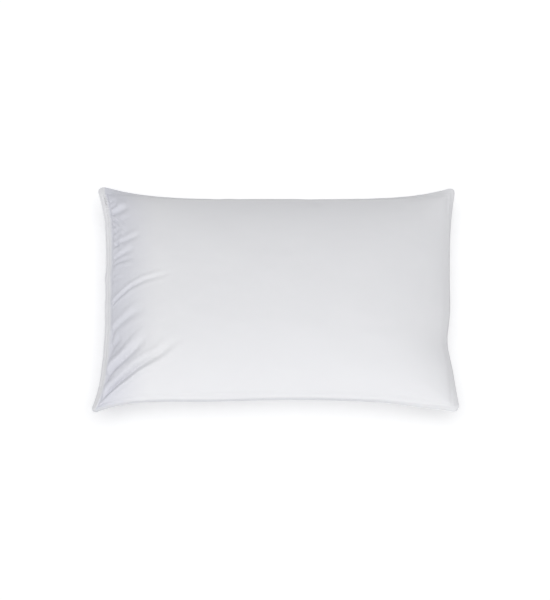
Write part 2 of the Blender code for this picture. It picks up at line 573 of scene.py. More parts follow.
@dataclass(frozen=True)
class PillowForm:
    """The filled pillow's shape: its four edges, its seam height and how the cloth is blown out."""

    closing: EdgePlan = EdgePlan(
        0.3331, 0.0234, 0.0190, 5.2, 3.4, 40.0, 46.0, 6.0,
        dips=((-0.30, 0.16, 0.0020), (-0.54, 0.04, 0.0008), (0.00, 0.03, 0.0008), (0.16, 0.05, -0.0016),
              (0.70, 0.03, 0.0010)),
    )
    far: EdgePlan = EdgePlan(
        0.3458, 0.0032, 0.0092, 5.0, 1.5, 74.0, 24.0, 24.0, dips=((-0.42, 0.20, 0.0085),)
    )
    front: EdgePlan = EdgePlan(
        0.2186, 0.0225, 0.0150, 6.0, 2.6, 90.0, 86.0, 58.0,
        dips=((-0.40, 0.26, -0.0032), (0.10, 0.20, 0.0008), (0.80, 0.14, -0.0030)),
    )
    rear: EdgePlan = EdgePlan(
        0.2080, 0.0222, 0.0195, 4.3, 5.4, 56.0, 10.0, 14.0,
        dips=((-0.325, 0.016, 0.0010), (-0.285, 0.020, -0.0012), (0.21, 0.03, 0.0008)),
    )
    tips: tuple[float, float, float, float] = (0.015, 0.010, 0.013, 0.006)
    flange: float = 0.0125
    seam_height: float = 0.058
    ear_droop: float = 0.008
    ear_curve: float = 6.0
    crown: float = 0.089
    belly: float = 0.082
    length_reach: float = 3.4
    width_reach: float = 2.4
    shoulder: float = 0.62
    slack_corner: tuple[float, float, float, float] = (0.345, 0.215, 0.110, 0.006)
    cloth: float = 0.0005
    layer_gap: float = 0.0009
    flange_bend: float = 0.003
    slack_full: float = 0.5

    def seam(self, along: float, across: float) -> float:
        """Height of the seam's mid-plane."""
        return self.seam_height - self.ear_droop * abs(along * across) ** self.ear_curve

    def fullness(self, along: float, across: float) -> float:
        """How far the cloth is blown out here.

        Args:
            along: Share of the way along the pillow.
            across: Share of the way across it.

        Returns:
            From 0 at the seam to 1 at the crown.
        """
        lengthwise = 1.0 - abs(along) ** self.length_reach
        widthwise = 1.0 - abs(across) ** self.width_reach
        return max(lengthwise * widthwise, 0.0) ** self.shoulder

    def point(self, along: float, across: float, out_x: float, out_y: float, face: Face) -> Vector:
        """A point on the outside of a panel.

        Args:
            along: Share of the way along the pillow, -1 at the closing end's seam to 1.
            across: Share of the way across, -1 at the front's seam to 1.
            out_x: How far out over an end's flange, from 0 at the seam.
            out_y: How far out over a side's flange, from 0 at the seam.
            face: Which panel.

        Returns:
            The point.
        """
        end = self.closing if along < 0.0 else self.far
        side = self.front if across < 0.0 else self.rear
        sign_x, sign_y = -1.0 if along < 0.0 else 1.0, -1.0 if across < 0.0 else 1.0
        hang_x, hang_y = end.hang(across), side.hang(along)
        half_gap = self.layer_gap / 2.0 + self.cloth
        x = self.half_x(along, across) + sign_x * out_x * math.cos(hang_x)
        y = self.half_y(along, across) + sign_y * out_y * math.cos(hang_y)
        z = self.seam(along, across) - math.hypot(out_x * math.sin(hang_x), out_y * math.sin(hang_y))
        lean_x = math.sin(hang_x) * smooth_step(0.0, self.flange_bend, out_x)
        lean_y = math.sin(hang_y) * smooth_step(0.0, self.flange_bend, out_y)
        normal = Vector((sign_x * lean_x, sign_y * lean_y, 1.0)).normalized()
        x, y = self.rounded(x, y)
        point = Vector((x, y, z)) + normal * (face.value * half_gap)
        if face is Face.UPPER:
            swell = self.fullness(along, across)
            point.z += self.crown * swell - self.slack(x, y) * smooth_step(0.0, self.slack_full, swell)
        else:
            point.z = max(point.z - self.belly * self.fullness(along, across), 0.0)
        return point

    def slack(self, x: float, y: float) -> float:
        """How far the less filled corner sinks below the even crown here."""
        corner_x, corner_y, reach, depth = self.slack_corner
        return depth * math.exp(-((x - corner_x) ** 2 + (y - corner_y) ** 2) / reach ** 2)

    def rounded(self, x: float, y: float) -> tuple[float, float]:
        """Round off the four corners as seen from above.

        Args:
            x: Place along X with square corners.
            y: Place along Y with square corners.

        Returns:
            The place with the corner rounded.
        """
        end = self.closing if x < 0.0 else self.far
        side = self.front if y < 0.0 else self.rear
        low_x, low_y = math.copysign(1.0, x), math.copysign(1.0, y)
        radius = self.tips[(0 if x < 0.0 else 2) + (0 if y < 0.0 else 1)]
        start_x = end.out(low_y) + self.flange * math.cos(end.hang(low_y)) - radius
        start_y = side.out(low_x) + self.flange * math.cos(side.hang(low_x)) - radius
        u, v = (abs(x) - start_x) / radius, (abs(y) - start_y) / radius
        if u <= 0.0 or v <= 0.0:
            return x, y
        u, v = min(u, 1.0), min(v, 1.0)
        new_u, new_v = u * math.sqrt(1.0 - v * v / 2.0), v * math.sqrt(1.0 - u * u / 2.0)
        return low_x * (start_x + new_u * radius), low_y * (start_y + new_v * radius)

    def half_x(self, along: float, across: float) -> float:
        """Find the place along X at a share of the way out to the end's seam.

        Args:
            along: Share of the way along the pillow.
            across: Share of the way across it.

        Returns:
            The place in metres.
        """
        blend = smooth_step(-1.0, 1.0, along)
        reach = self.closing.out(across) * (1.0 - blend) + self.far.out(across) * blend
        return along * reach

    def half_y(self, along: float, across: float) -> float:
        """Find the place along Y at a share of the way out to the side's seam.

        Args:
            along: Share of the way along the pillow.
            across: Share of the way across it.

        Returns:
            The place in metres.
        """
        blend = smooth_step(-1.0, 1.0, across)
        reach = self.front.out(along) * (1.0 - blend) + self.rear.out(along) * blend
        return across * reach


@dataclass(frozen=True)
class Station:
    """A grid line of a panel: its share of the way out and how far it lies over the flange."""

    share: float
    out: float = 0.0


@dataclass(frozen=True)
class Layout:
    """Where a panel's grid lines run, close together where the cloth is gathered."""

    flange_steps: tuple[float, ...] = (0.0032, 0.0064, 0.0096, 0.0118, 0.0125)
    fine_zone: float = 0.36
    fine_steps: int = 36
    coarse_steps: int = 46
    width_steps: int = 100

    def columns(self) -> list[Station]:
        """Lay the grid lines from the closing end to the far end.

        Returns:
            The stations in order.
        """
        split = -1.0 + self.fine_zone
        shares = [-1.0 + self.fine_zone * step / self.fine_steps for step in range(self.fine_steps)]
        shares += [split + (1.0 - split) * step / self.coarse_steps for step in range(self.coarse_steps + 1)]
        return self.with_flange(shares)

    def rows(self) -> list[Station]:
        """Grid lines from the front to the rear."""
        return self.with_flange([2.0 * step / self.width_steps - 1.0 for step in range(self.width_steps + 1)])

    def with_flange(self, shares: list[float]) -> list[Station]:
        """Add the flange's lines at both ends.

        Args:
            shares: Evenly running shares from -1 to 1.

        Returns:
            The stations, with the body's eased so that they crowd towards the seam.
        """
        near = [Station(-1.0, step) for step in reversed(self.flange_steps)]
        far = [Station(1.0, step) for step in self.flange_steps]
        return near + [Station(self.eased(share)) for share in shares] + far

    @staticmethod
    def eased(share: float) -> float:
        """Crowd a share towards the seam, where the cloth stands steeply."""
        return 0.45 * share + 0.55 * math.sin(share * math.pi / 2.0)


@dataclass(frozen=True)
class Fold:
    """A fold of the cloth along a route over a panel, in metres from above.

    Its valley has a crest on one side and a lower back on the other. The opening is the valley's spread at
    the start and what it gains by the end, in widths. The crest is a place and a spread, and the back a height,
    a place and a spread, in spreads of the valley.
    """

    route: tuple[Spot, ...]
    depth: float
    width: float
    ridge: float = 0.6
    ridge_side: float = 1.0
    start_fade: float = 0.10
    end_fade: float = 0.55
    lead_in: float = 0.02
    opening: tuple[float, float] = (0.75, 0.9)
    crest: tuple[float, float] = (1.6, 1.1)
    back: Triple = (0.35, 2.0, 1.4)
    box_reach: float = 5.0
    reach: float = 4.0

    def near(self, place: Vector) -> bool:
        """Tell whether a place is in the box round the route.

        Args:
            place: The place from above.

        Returns:
            Whether it may have to be moved.
        """
        margin = self.box_reach * self.width
        lines = zip(zip(*self.route), place)
        return all(min(line) - margin < value < max(line) + margin for line, value in lines)

    def lift(self, place: Vector) -> float:
        """How far this fold moves the cloth out at a place.

        Args:
            place: The place from above.

        Returns:
            The distance in metres, negative in the valley.
        """
        if not self.near(place):
            return 0.0
        best = None
        walked = 0.0
        lengths = [(Vector(b) - Vector(a)).length for a, b in zip(self.route, self.route[1:])]
        whole = sum(lengths)
        for (a, b), length in zip(zip(self.route, self.route[1:]), lengths):
            start, run = Vector(a), Vector(b) - Vector(a)
            share = min(max((place - start).dot(run) / run.length_squared, 0.0), 1.0)
            gap = place - (start + run * share)
            if best is None or gap.length < best[0]:
                turn = 1.0 if run.x * gap.y - run.y * gap.x > 0.0 else -1.0
                best = (gap.length, turn, (walked + share * length) / whole)
            walked += length
        distance, turn, travelled = best
        if distance > self.reach * self.width:
            return 0.0
        fade = smooth_step(0.0, self.start_fade, travelled + self.lead_in)
        fade *= 1.0 - smooth_step(self.end_fade, 1.0, travelled)
        spread = self.width * (self.opening[0] + self.opening[1] * travelled)
        offset = distance * turn * self.ridge_side
        crest = self.ridge * hill(offset, self.crest[0] * spread, self.crest[1] * spread)
        height, place_back, spread_back = self.back
        back = height * self.ridge * hill(offset, -place_back * spread, spread_back * spread)
        return self.depth * fade * (crest - hill(offset, 0.0, spread) + back)


# ----------------------------------------------------------------------------------------- the panels


@dataclass
class CutSurface:
    """A finished panel looked up by its cut pattern, so that stitches lie on the cloth as it ended up."""

    corners: list[tuple[Vector, ...]] = field(default_factory=list)
    cuts: list[tuple[Vector, ...]] = field(default_factory=list)
    tree: BVHTree | None = None

    @classmethod
    def of(cls, mesh: bmesh.types.BMesh) -> "CutSurface":
        """Read a panel's mesh.

        Args:
            mesh: The panel's outside, with its cut map.

        Returns:
            The surface, ready to be asked.
        """
        layer = mesh.loops.layers.uv["cut"]
        made = cls()
        flat = []
        triangles = []
        for loops in mesh.calc_loop_triangles():
            cut = tuple(loop[layer].uv.to_3d() for loop in loops)
            made.cuts.append(cut)
            made.corners.append(tuple(loop.vert.co.copy() for loop in loops))
            triangles.append((len(flat), len(flat) + 1, len(flat) + 2))
            flat.extend(cut)
        made.tree = BVHTree.FromPolygons(flat, triangles, all_triangles=True)
        return made

    def at(self, cut: Vector) -> tuple[Vector, Vector]:
        """Find a place on the cloth.

        Args:
            cut: The place on the cut pattern, in metres.

        Returns:
            The point on the cloth and the outward normal there.
        """
        near, _, number, _ = self.tree.find_nearest(cut.to_3d())
        a, b, c = self.corners[number]
        point = barycentric_transform(near, *self.cuts[number], a, b, c)
        normal = (b - a).cross(c - a).normalized()
        return point, normal


@dataclass(frozen=True)
class Blow:
    """How a panel is blown out by the cloth simulation: the cloth's settings and how much spare it has."""

    fabric: tuple[tuple[str, float], ...] = (
        ("quality", 6), ("mass", 0.15), ("tension_stiffness", 25.0), ("compression_stiffness", 25.0),
        ("shear_stiffness", 5.0), ("bending_stiffness", 0.02), ("tension_damping", 10.0),
        ("compression_damping", 10.0), ("air_damping", 2.0),
    )
    pressure: float = 4.0
    frames: int = 20
    cap: float = 0.010
    gathered: float = 0.13
    gathered_reach: float = 0.085
    eased: float = 0.018
    eased_reach: float = 0.045

    def spare(self, form: PillowForm, place: Vector) -> float:
        """How much longer the cloth is here than the form.

        Args:
            form: The filled pillow's shape.
            place: The place on it.

        Returns:
            The spare length as a share.
        """
        closing = place.x + form.closing.middle
        others = min(form.far.middle - place.x, form.front.middle + place.y, form.rear.middle - place.y)
        ease = self.eased * (1.0 - smooth_step(0.0, self.eased_reach, others))
        gather = self.gathered * (1.0 - smooth_step(0.0, self.gathered_reach, closing))
        return max(ease, gather)


@dataclass
class CasingPanel:
    """One of the casing's two panels: cut, blown out by simulation, folded and pressed at its flange.

    An unevenness is a height, waves to a metre and a layer of the noise, and so is the ripple. A stitch row
    and the root crease press in by a depth and a width. The closing pull deepens the root crease between two
    places. The bunching runs from one place to another along the closing seam, at a pitch and a depth.
    """

    face: Face
    name: str
    node: str
    cut: Spot
    form: PillowForm = field(default_factory=PillowForm)
    layout: Layout = field(default_factory=Layout)
    blow: Blow = field(default_factory=Blow)
    folds: tuple[Fold, ...] = ()
    held_patch: float = 0.0
    held_edge: float = -0.0002
    body_ease: float = 0.006
    fold_share: float = 0.5
    unevenness: tuple[Triple, Triple] = ((0.0011, 14.0, 3.0), (0.0004, 45.0, 7.0))
    stitch: Spot = (0.00030, 0.0009)
    root: Spot = (0.0015, 0.0019)
    root_inset: float = 0.0034
    closing_pull: Triple = (0.325, 0.350, 1.2)
    ripple: Triple = (0.0011, 38.0, 2.0)
    ripple_ease: float = 0.010
    bunch: tuple[float, float, float, float] = (0.150, 0.222, 0.0064, 0.0009)
    bunch_eases: Triple = (0.02, 0.01, 0.008)
    bunch_width: float = 0.0045
    surface: CutSurface | None = None

    def sheet_of_cloth(self) -> bmesh.types.BMesh:
        """Lay the cut panel over the designed form.

        Returns:
            The panel as one layer of faces, with its cut map in metres.
        """
        columns, rows = self.layout.columns(), self.layout.rows()
        mesh = bmesh.new()
        bmesh.ops.create_grid(mesh, x_segments=len(columns) - 1, y_segments=len(rows) - 1, size=1.0)
        layer = mesh.loops.layers.uv.new("cut")
        places = {}
        for vertex in mesh.verts:
            column = columns[round((vertex.co.x + 1.0) / 2.0 * (len(columns) - 1))]
            row = rows[round((vertex.co.y + 1.0) / 2.0 * (len(rows) - 1))]
            places[vertex] = self.cut_place(column, row)
            vertex.co = self.form.point(column.share, row.share, column.out, row.out, self.face)
        for surface in mesh.faces:
            for loop in surface.loops:
                loop[layer].uv = places[loop.vert]
        if self.face is Face.LOWER:
            bmesh.ops.reverse_faces(mesh, faces=mesh.faces)
        return mesh

    def cut_place(self, column: Station, row: Station) -> Vector:
        """Find where a grid point lies on the cut pattern.

        Args:
            column: Its line along the pillow.
            row: Its line across it.

        Returns:
            The place on the cut pattern, in metres.
        """
        lines = zip((column, row), HALF_CUT)
        return Vector(line.share * half + math.copysign(line.out, line.share) for line, half in lines)

    def blown(self, start: bmesh.types.BMesh) -> bmesh.types.BMesh:
        """Blow the panel out with the cloth simulation, capped, and subdivide it once.

        Args:
            start: The cut panel on its form. It is freed.

        Returns:
            The blown panel.
        """
        data = bpy.data.meshes.new(self.name + "_start")
        start.to_mesh(data)
        start.free()
        bag = bpy.data.objects.new(data.name, data)
        bpy.context.scene.collection.objects.link(bag)
        self.simulate(bag)
        finer = bag.modifiers.new("finer", "SUBSURF")
        finer.levels = finer.render_levels = 1
        finer.uv_smooth = "NONE"
        depsgraph = bpy.context.evaluated_depsgraph_get()
        result = bmesh.new()
        result.from_object(bag, depsgraph)
        bpy.data.objects.remove(bag, do_unlink=True)
        bpy.data.meshes.remove(data)
        return result

    def simulate(self, bag: bpy.types.Object) -> None:
        """Run the cloth on the bag's mesh and write the capped result back to it.

        Args:
            bag: The cut panel on its form, with its cut map.
        """
        rest = [vertex.co.copy() for vertex in bag.data.vertices]
        pattern = bag.data.uv_layers["cut"].data
        cuts = {loop.vertex_index: pattern[loop.index].uv.copy() for loop in bag.data.loops}
        pinned = bag.vertex_groups.new(name="pinned")
        spare = bag.vertex_groups.new(name="spare")
        most = max(self.blow.gathered, self.blow.eased)
        for number, place in enumerate(rest):
            spare.add([number], self.blow.spare(self.form, place) / most, "REPLACE")
            if self.is_held(place, cuts[number]):
                pinned.add([number], 1.0, "REPLACE")
        cloth = bag.modifiers.new("cloth", "CLOTH")
        settings = cloth.settings
        for key, value in self.blow.fabric:
            setattr(settings, key, value)
        settings.use_pressure = True
        settings.uniform_pressure_force = self.blow.pressure
        settings.vertex_group_mass = pinned.name
        settings.vertex_group_shrink = spare.name
        settings.shrink_min = 0.0
        settings.shrink_max = -most
        settings.effector_weights.gravity = 0.0
        cloth.collision_settings.use_collision = False
        cloth.point_cache.frame_start = 1
        cloth.point_cache.frame_end = self.blow.frames
        scene = bpy.context.scene
        for number in range(1, self.blow.frames + 1):
            scene.frame_set(number)
        moved = bag.evaluated_get(bpy.context.evaluated_depsgraph_get()).data
        furthest = 0.0
        for vertex, new in zip(bag.data.vertices, moved.vertices):
            step = new.co - vertex.co
            furthest = max(furthest, step.length)
            if step.length > self.blow.cap:
                step *= self.blow.cap / step.length
            vertex.co += step
            vertex.co.z = max(vertex.co.z, 0.0)
        bag.modifiers.remove(cloth)
        bag.vertex_groups.clear()
        scene.frame_set(1)
        LOG.info("%s: the cloth moved up to %.1f mm", self.name, furthest * 1000.0)

    def is_held(self, place: Vector, cut: Vector) -> bool:
        """Tell whether a point is sewn into the flange or pressed on the ground."""
        on_ground = self.face is Face.LOWER and place.z < self.held_patch
        return self.over_flange(cut) > self.held_edge or on_ground

    def over_flange(self, cut: Vector) -> float:
        """How far a place on the cut pattern lies out over the flange, in metres."""
        return max(abs(cut.x) - HALF_CUT[0], abs(cut.y) - HALF_CUT[1])

    def shaped(self, mesh: bmesh.types.BMesh) -> None:
        """Fold the cloth, sink the stitch rows and let the flange wave a little.

        Args:
            mesh: The blown panel.
        """
        layer = mesh.loops.layers.uv["cut"]
        mesh.normal_update()
        moves = []
        for vertex in mesh.verts:
            cut = vertex.link_loops[0][layer].uv
            out = self.over_flange(cut)
            moves.append((vertex, vertex.normal * self.lift(vertex.co, cut, out) + self.wave(cut, out)))
        for vertex, move in moves:
            vertex.co += move
            vertex.co.z = max(vertex.co.z, 0.0)
        mesh.normal_update()

    def lift(self, place: Vector, cut: Vector, out: float) -> float:
        """How far the cloth moves out of its own surface at a place.

        Args:
            place: The place on the blown panel.
            cut: The place on the cut pattern.
            out: How far it lies out over the flange.

        Returns:
            The distance in metres, negative inwards.
        """
        body = smooth_step(0.0, self.body_ease, -out)
        lift = 0.0
        if body > 0.0:
            from_above = Vector((place.x, place.y))
            seam = self.form.seam(cut.x / HALF_CUT[0], cut.y / HALF_CUT[1])
            deepest = -self.fold_share * abs(place.z - seam)
            lift += body * max(sum(fold.lift(from_above) for fold in self.folds), deepest)
            for height, waves, depth in self.unevenness:
                spot = Vector((cut.x * waves, cut.y * waves, self.face.value * depth))
                lift += body * height * noise.noise(spot)
        low, high, deeper = self.closing_pull
        pulled = self.root[0] * (1.0 + deeper * smooth_step(low, high, -cut.x))
        lift -= pulled * hill(out, -self.root_inset, self.root[1])
        for row in STITCH_ROWS:
            lift -= self.stitch[0] * hill(out, row, self.stitch[1])
        return lift

    def wave(self, cut: Vector, out: float) -> Vector:
        """How the flange ripples along its length, both layers together, and bunches at the closing seam.

        Args:
            cut: The place on the cut pattern.
            out: How far it lies out over the flange.

        Returns:
            The move.
        """
        height, waves, layer = self.ripple
        ripple = height * noise.noise(Vector((cut.x * waves, cut.y * waves, layer)))
        rise = smooth_step(0.0, self.ripple_ease, out) * ripple
        if cut.x <= 0.0:
            start, end, pitch, depth = self.bunch
            before, after, past = self.bunch_eases
            bunched = smooth_step(start - before, start + after, cut.y)
            bunched *= 1.0 - smooth_step(end, end + past, cut.y)
            rise += depth * bunched * hill(out, 0.0, self.bunch_width) * math.cos(math.tau * cut.y / pitch)
        return Vector((0.0, 0.0, rise))

    def build(self, finish: bpy.types.Material) -> bpy.types.Object:
        """Make the finished panel.

        Args:
            finish: The cotton.

        Returns:
            The piece.
        """
        mesh = self.blown(self.sheet_of_cloth())
        self.shaped(mesh)
        self.surface = CutSurface.of(mesh)
        panel = add_piece(self.name, mesh, finish)
        wall = panel.modifiers.new("wall", "SOLIDIFY")
        wall.thickness = self.form.cloth
        wall.offset = -1.0
        wall.use_even_offset = False
        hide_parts(self.node)
        return panel


# ------------------------------------------------------------------------------------------ the stitching


@dataclass(frozen=True)
class Stitching:
    """Stitches on a finished panel, each a short bar of thread pressed into the cloth."""

    name: str
    node: str

    def stitches(self) -> list[tuple[Vector, Vector]]:
        """Give both needle holes of every stitch, on the cut pattern."""
        raise NotImplementedError

    def build(self, surface: CutSurface, finish: bpy.types.Material) -> bpy.types.Object:
        """Sew the stitches.

        Args:
            surface: The panel that they lie on.
            finish: The thread.

        Returns:
            The piece.
        """
        piece = add_piece(self.name, self.sewn(surface), finish)
        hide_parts(self.node)
        return piece

    def sewn(
        self, surface: CutSurface, sides: int = 6, rings: int = 5, proud: float = 0.35
    ) -> bmesh.types.BMesh:
        """String one rounded bar of thread many times, and lay each copy from needle hole to needle hole.

        Args:
            surface: The panel that the stitches lie on.
            sides: Faces round a bar.
            rings: Rings from one end of a bar to the other.
            proud: How far a bar's middle lies above the cloth, in thicknesses.

        Returns:
            All the stitches as one mesh.
        """
        stitches = self.stitches()
        work = bmesh.new()
        bmesh.ops.create_uvsphere(work, u_segments=sides, v_segments=rings, radius=1.0)
        bmesh.ops.rotate(work, matrix=Matrix.Rotation(math.pi / 2.0, 3, "Y"), verts=work.verts)
        bar = [vertex.co.copy() for vertex in work.verts]
        data = bpy.data.meshes.new(self.name + "_bar")
        while len(work.verts) < len(bar) * len(stitches):
            work.to_mesh(data)
            work.from_mesh(data)
        bpy.data.meshes.remove(data)
        work.verts.ensure_lookup_table()
        bmesh.ops.delete(work, geom=work.verts[len(bar) * len(stitches):], context="VERTS")
        work.verts.ensure_lookup_table()
        for number, (start, end) in enumerate(stitches):
            first, normal = surface.at(start)
            last, _ = surface.at(end)
            run = last - first
            side = normal.cross(run).normalized()
            up = run.cross(side).normalized()
            middle = (first + last) / 2.0 + up * SEWN_THREAD * proud
            for vertex, place in zip(work.verts[number * len(bar):(number + 1) * len(bar)], bar):
                round_it = (side * place.y + up * place.z) * (SEWN_THREAD / 2.0)
                vertex.co = middle + run * (place.x / 2.0) + round_it
        return work


@dataclass(frozen=True)
class StitchRow(Stitching):
    """A row of lockstitches along the flange."""

    route: tuple[Spot, ...]
    pitch: float = 0.0030
    length: float = 0.0024

    def stitches(self) -> list[tuple[Vector, Vector]]:
        """Step along the route.

        Returns:
            Both needle holes of every stitch, on the cut pattern.
        """
        ends = []
        for start, end in zip(self.route, self.route[1:]):
            a, b = Vector(start), Vector(end)
            count = max(round((b - a).length / self.pitch), 1)
            step = (b - a) / count
            half = step.normalized() * self.length / 2.0
            for number in range(count):
                middle = a + step * (number + 0.5)
                ends.append((middle - half, middle + half))
        return ends


@dataclass(frozen=True)
class LockTack(Stitching):
    """The bunched stitches that lock the closing seam near its rear end, sewn as a zigzag."""

    name: str = "closing_lock_tack_stitches"
    node: str = "closing_lock_tack"
    middle: Spot = (-0.3634, 0.2150)
    length: float = 0.022
    width: float = 0.0034
    pitch: float = 0.0009

    def stitches(self) -> list[tuple[Vector, Vector]]:
        """Zigzag along the tack.

        Returns:
            Both needle holes of every stitch, on the cut pattern.
        """
        count = round(self.length / self.pitch)
        left, right = self.middle[0] - self.width / 2.0, self.middle[0] + self.width / 2.0
        ends = []
        for number in range(count):
            v = self.middle[1] + (number - count / 2.0) * self.pitch
            ends.append((Vector((left, v - self.pitch / 2.0)), Vector((right, v + self.pitch / 2.0))))
        return ends


@dataclass(frozen=True)
class CareLabel:
    """The blank satin care label, folded in two and caught under the rear flange."""

    name: str = "care_label_ribbon"
    node: str = "care_label"
    band: float = 0.0090
    drop: float = 0.0330
    sewn_at: float = 0.0115
    reach: float = 0.3435
    curl: float = 0.0040
    clearance: float = 0.0006
    thickness: float = 0.00035
    columns: int = 16
    rows: int = 26

    def build(self, surface: CutSurface, finish: bpy.types.Material) -> bpy.types.Object:
        """Hang the ribbon from its band.

        Args:
            surface: The lower panel, whose flange holds it.
            finish: The satin.

        Returns:
            The piece.
        """
        low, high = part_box(self.node)
        width = high.x - low.x
        mesh = bmesh.new()
        bmesh.ops.create_grid(mesh, x_segments=self.columns, y_segments=self.rows, size=1.0)
        layer = mesh.loops.layers.uv.new("cut")
        for side in mesh.faces:
            for loop in side.loops:
                share = loop.vert.co
                loop[layer].uv = (share.x * width / 2.0, (share.y + 1.0) / 2.0 * (self.band + self.drop))
        for vertex in mesh.verts:
            across = vertex.co.x
            walked = (vertex.co.y + 1.0) / 2.0 * (self.band + self.drop)
            x = (low.x + high.x) / 2.0 + across * width / 2.0
            vertex.co = self.hang(surface, x, across, walked)
        bmesh.ops.recalc_face_normals(mesh, faces=mesh.faces)
        ribbon = add_piece(self.name, mesh, finish)
        wall = ribbon.modifiers.new("wall", "SOLIDIFY")
        wall.thickness = self.thickness
        wall.offset = 0.0
        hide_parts(self.node)
        return ribbon

    def hang(self, surface: CutSurface, x: float, across: float, walked: float) -> Vector:
        """Place a point of the ribbon.

        Args:
            surface: The lower panel.
            x: The point's place along the pillow.
            across: From -1 to 1 over the ribbon's width.
            walked: How far along the ribbon from its sewn edge.

        Returns:
            The point.
        """
        u = x / self.reach
        band = min(walked, self.band)
        point, normal = surface.at(Vector((u * HALF_CUT[0], HALF_CUT[1] + self.sewn_at - self.band + band)))
        point = point + normal * self.clearance
        fallen = walked - band
        share = fallen / self.drop
        sway = self.curl * math.sin(share * math.pi * 0.9) + self.curl * 0.5 * share * across ** 2
        return Vector((x, point.y - sway, point.z - fallen * 0.97))


@dataclass(frozen=True)
class FillMass:
    """The loose fill inside the casing: a crowned, lumpy, closed mass a little smaller than the casing."""

    name: str = "loose_fill"
    node: str = "fill"
    form: PillowForm = field(default_factory=PillowForm)
    inset: float = 0.965
    end_inset: float = 0.030
    clearance: float = 0.0045
    drawn_up: float = 0.0125
    columns: int = 90
    rows: int = 60
    lump: float = 0.0045
    lumps_per_metre: float = 30.0
    lump_layer: float = 5.0
    half_rim: float = 0.0035
    rest: float = 0.0045
    shrunk: float = 0.985
    loose: float = 0.93
    end_zone: Spot = (0.45, 0.95)
    drawn_up_zone: Spot = (0.45, 0.85)
    fullness: float = 0.78

    def build(self, finish: bpy.types.Material) -> bpy.types.Object:
        """Make the fill.

        Args:
            finish: The loose fibre.

        Returns:
            The piece.
        """
        mesh = bmesh.new()
        rims = []
        for face in (Face.UPPER, Face.LOWER):
            made = bmesh.ops.create_grid(mesh, x_segments=self.columns, y_segments=self.rows, size=1.0)
            for vertex in made["verts"]:
                along, across = Layout.eased(vertex.co.x), Layout.eased(vertex.co.y)
                vertex.co = self.place(along, across, face)
            rims += list({edge for vertex in made["verts"] for edge in vertex.link_edges if edge.is_boundary})
        bmesh.ops.bridge_loops(mesh, edges=rims)
        bmesh.ops.recalc_face_normals(mesh, faces=mesh.faces)
        mass = add_piece(self.name, mesh, finish)
        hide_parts(self.node)
        return mass

    def place(self, along: float, across: float, face: Face) -> Vector:
        """Place a point of the fill, inside the casing's own form.

        Args:
            along: Share of the way along the pillow.
            across: Share of the way across it.
            face: Which side of the fill.

        Returns:
            The point.
        """
        form = self.form
        x = form.half_x(along, across) * (self.inset - self.end_inset * smooth_step(*self.end_zone, -along))
        y = form.half_y(along, across) * self.inset
        z = form.seam(along, across) + face.value * self.half_rim
        swell = form.crown if face is Face.UPPER else form.belly
        drawn_up = self.drawn_up * smooth_step(*self.drawn_up_zone, -along)
        full = form.fullness(along * self.shrunk, across * self.shrunk)
        room = swell * full * self.loose - self.clearance - drawn_up - form.slack(x, y)
        spot = Vector((x * self.lumps_per_metre, y * self.lumps_per_metre, face.value * self.lump_layer))
        z += face.value * max(room + self.lump * noise.noise(spot) - self.lump, 0.0)
        return Vector((x, y, max(z, self.rest)))


# ------------------------------------------------------------------------------------------- the studio


